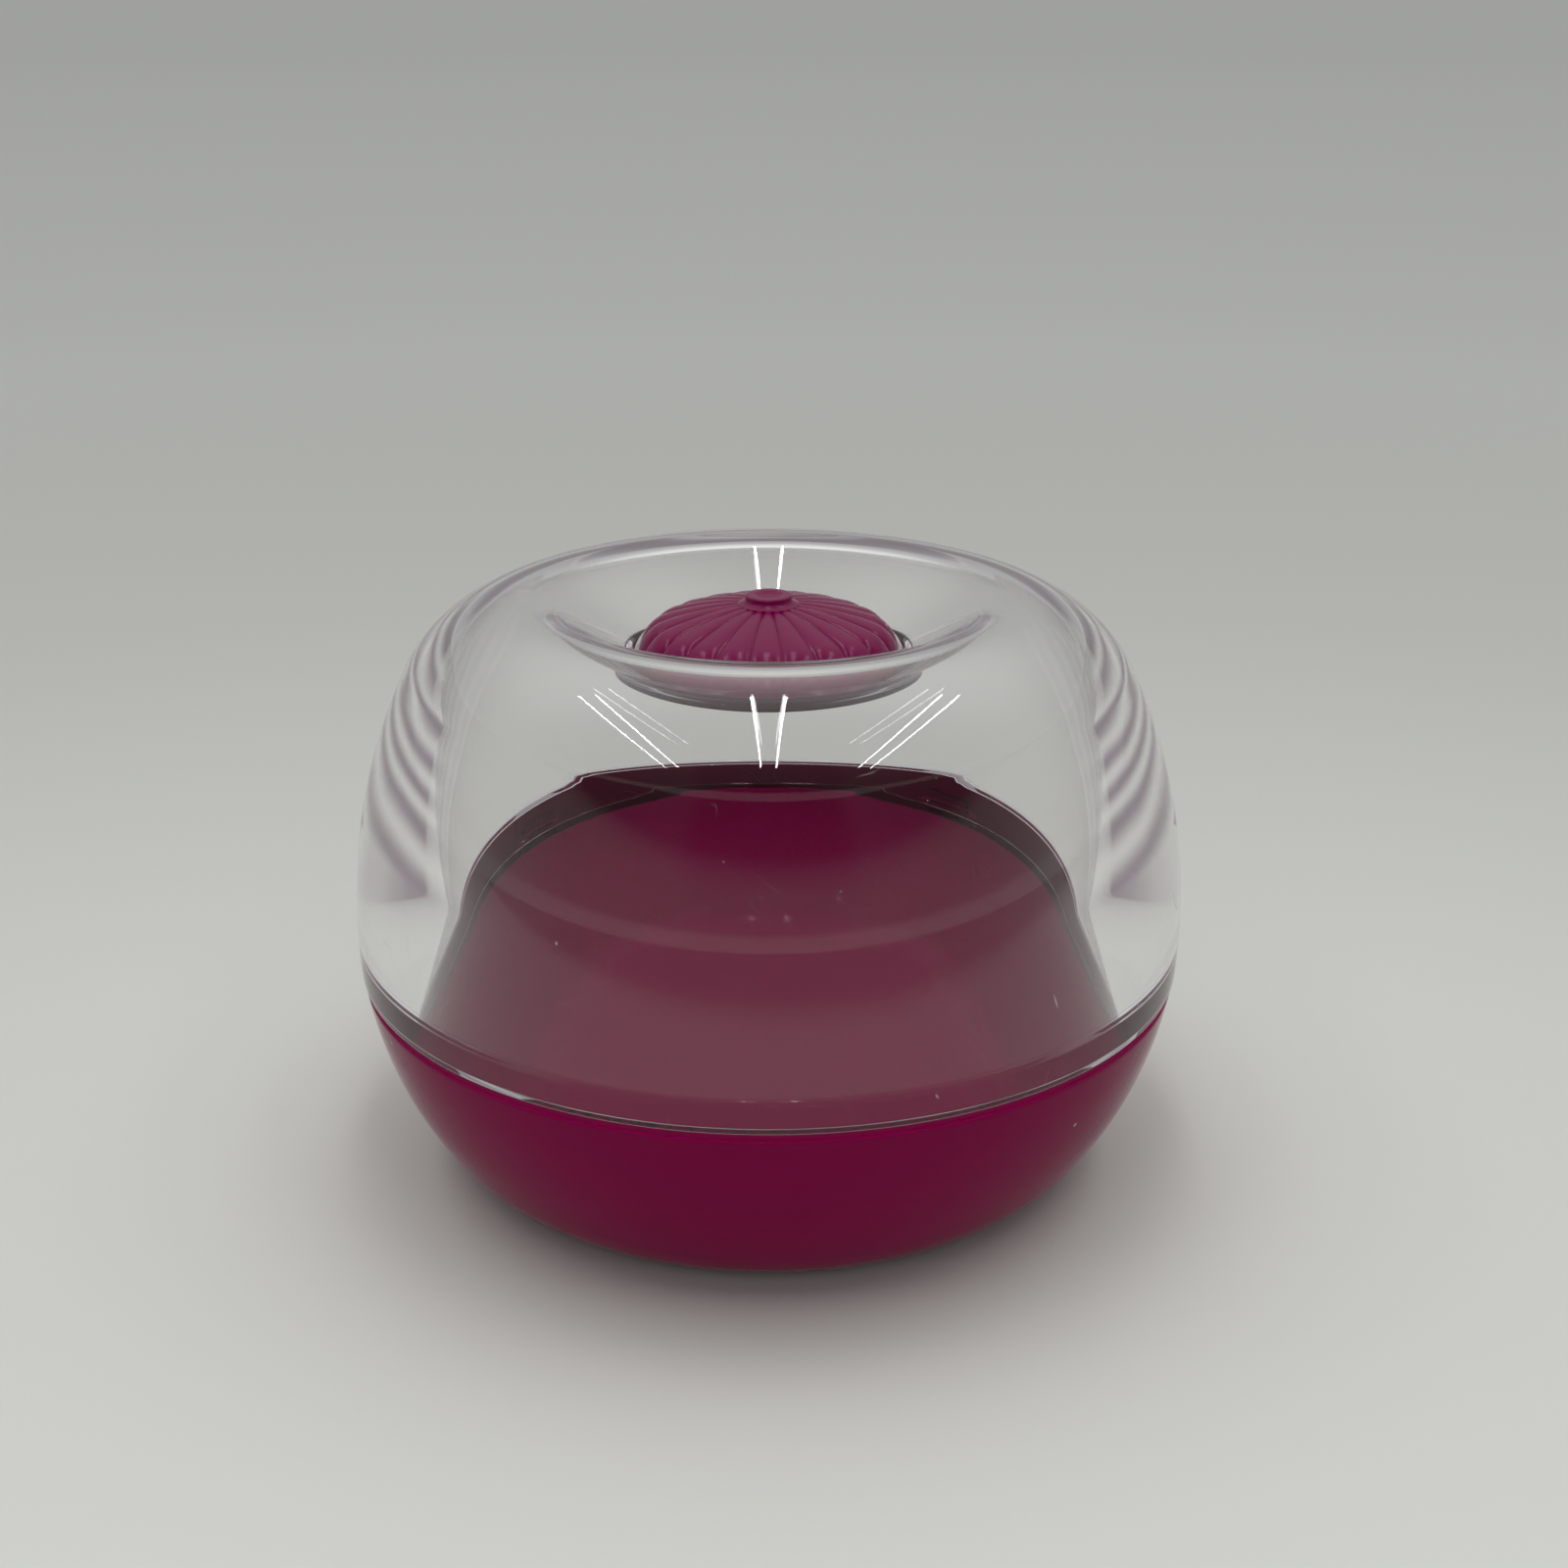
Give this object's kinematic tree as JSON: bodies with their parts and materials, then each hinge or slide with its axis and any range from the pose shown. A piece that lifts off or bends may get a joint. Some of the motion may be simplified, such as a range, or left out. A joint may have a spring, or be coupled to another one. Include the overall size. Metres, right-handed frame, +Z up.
{
  "type": "gumball jar",
  "caption": "Round gumball jar: glossy magenta bowl, thick clear lift-off dome with a dished top, and a fluted magenta cap in the dome's neck.",
  "frame": {"origin": "centre of the bowl's foot, on the surface it stands on", "axes": "+Z up along the jar's axis; the four lugs of the dome lie midway between the X and Y axes"},
  "size_m": [0.1194, 0.1194, 0.085],
  "materials": {
    "magenta_plastic": "gloss",
    "cap_plastic": "gloss",
    "clear_plastic": "clear gloss",
    "clear_silicone": "translucent"
  },
  "bodies": {
    "base": {"base_bowl": "magenta_plastic"},
    "dome": {"clear_dome": "clear_plastic"},
    "cap_ring": {"cap_seal": "clear_silicone"},
    "cap": {"fluted_cap": "cap_plastic", "cap_plug": "cap_plastic", "centre_stud": "cap_plastic"}
  },
  "joints": [
    {"name": "dome_lift", "type": "slide", "parent": "base", "child": "dome", "axis": [0, 0, 1], "range_m": [0, 0.08]},
    {"name": "cap_lift", "type": "slide", "parent": "dome", "child": "cap_ring", "axis": [0, 0, 1], "range_m": [0, 0.04]},
    {"name": "cap_turn", "type": "hinge", "parent": "cap_ring", "child": "cap", "pos_m": [0, 0, 0.075], "axis": [0, 0, 1], "continuous": true}
  ]
}
